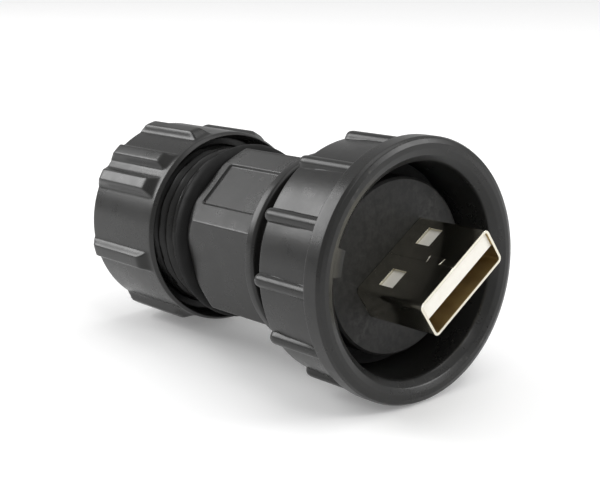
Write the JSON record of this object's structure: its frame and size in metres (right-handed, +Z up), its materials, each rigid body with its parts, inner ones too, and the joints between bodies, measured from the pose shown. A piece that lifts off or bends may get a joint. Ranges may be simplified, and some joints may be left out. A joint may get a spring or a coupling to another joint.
{
  "type": "sealed round usb plug connector",
  "caption": "Waterproof round USB cable-end plug: ribbed coupling nut turning on a hexagonal body, nickel USB plug in a recessed insert, ribbed gland nut for the cable.",
  "frame": {"origin": "on the connector's axis, in the plane of the coupling nut's front face", "axes": "+X along the axis, out of the mouth towards the mating socket; +Z up as the connector lies on its side"},
  "size_m": [0.0534, 0.0294, 0.0294],
  "materials": {
    "black_nylon": "matte moulded, fine grain",
    "insert_plastic": "matte",
    "nickel": "bright nickel plate on steel",
    "white_plastic": "satin moulded",
    "gold_contact": "gold plate",
    "black_rubber": "matte",
    "spring_steel": "satin"
  },
  "bodies": {
    "plug_body": {"body": "black_nylon", "insert": "insert_plastic", "seal_ring": "black_rubber", "mating_gasket": "black_rubber", "retaining_ring": "spring_steel", "usb_shell": "nickel", "usb_insulator": "white_plastic", "contact_1": "gold_contact", "contact_2": "gold_contact", "contact_3": "gold_contact", "contact_4": "gold_contact", "gland_seal": "black_rubber", "grommet": "black_rubber", "pressure_washer": "black_nylon"},
    "coupling": {"coupling_nut": "black_nylon"},
    "clamp": {"clamp_claw": "black_nylon"},
    "gland": {"gland_nut": "black_nylon"}
  },
  "joints": [
    {"name": "coupling_spin", "type": "hinge", "parent": "plug_body", "child": "coupling", "pos_m": [0, 0, 0], "axis": [1, 0, 0], "continuous": true},
    {"name": "gland_feed", "type": "slide", "parent": "plug_body", "child": "clamp", "axis": [-1, 0, 0], "range_m": [-0.00301, 0.00339]},
    {"name": "gland_turn", "type": "hinge", "parent": "clamp", "child": "gland", "pos_m": [-0.034, 0, 0], "axis": [-1, 0, 0], "range_deg": [-720, 810]}
  ],
  "couplings": [
    {"joint": "gland_feed", "follows": "gland_turn", "m_per_rad": 0.00023873}
  ]
}
